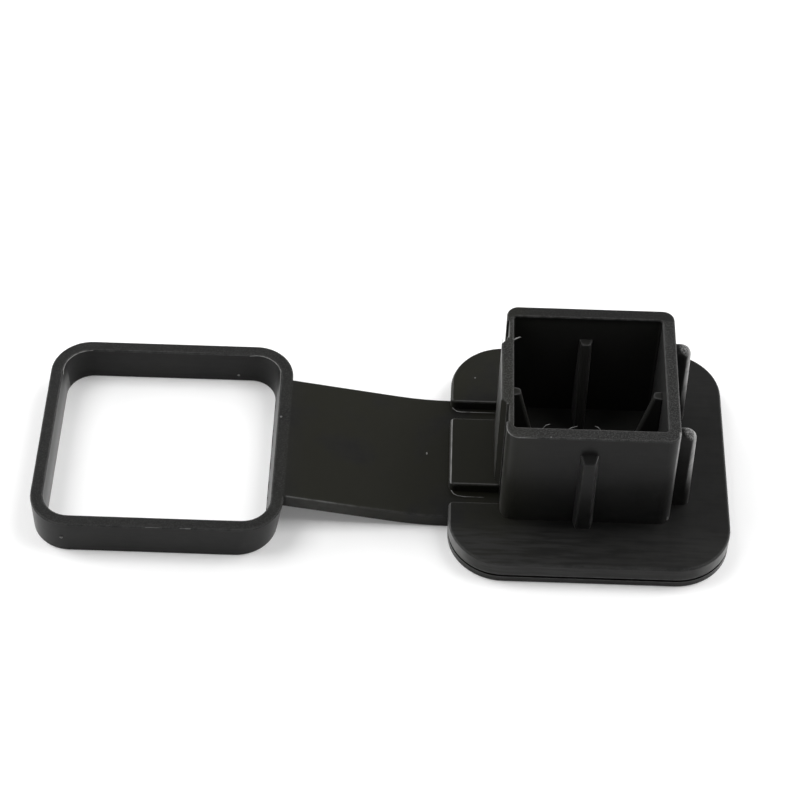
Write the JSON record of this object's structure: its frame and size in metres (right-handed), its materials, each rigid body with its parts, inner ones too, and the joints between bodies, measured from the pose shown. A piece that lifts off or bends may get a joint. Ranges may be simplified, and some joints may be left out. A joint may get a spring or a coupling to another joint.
{
  "type": "hitch receiver cover",
  "caption": "Black rubber cover that plugs the open end of a square hitch receiver, with a strap and a square ring that hold it to the receiver.",
  "frame": {"origin": "middle of the cover plate's outer face, which lies on Z = 0 and is the face the part rests on, together with the foot of the ring", "axes": "+X from the ring towards the plug, +Y across the strap, +Z from the plate's outer face to the plug's open rim, which is the way the plug goes into the receiver"},
  "size_m": [0.1871, 0.0762, 0.0417],
  "materials": {
    "rubber": "satin"
  },
  "bodies": {
    "root": {"hitch_cover": "rubber"}
  },
  "joints": []
}
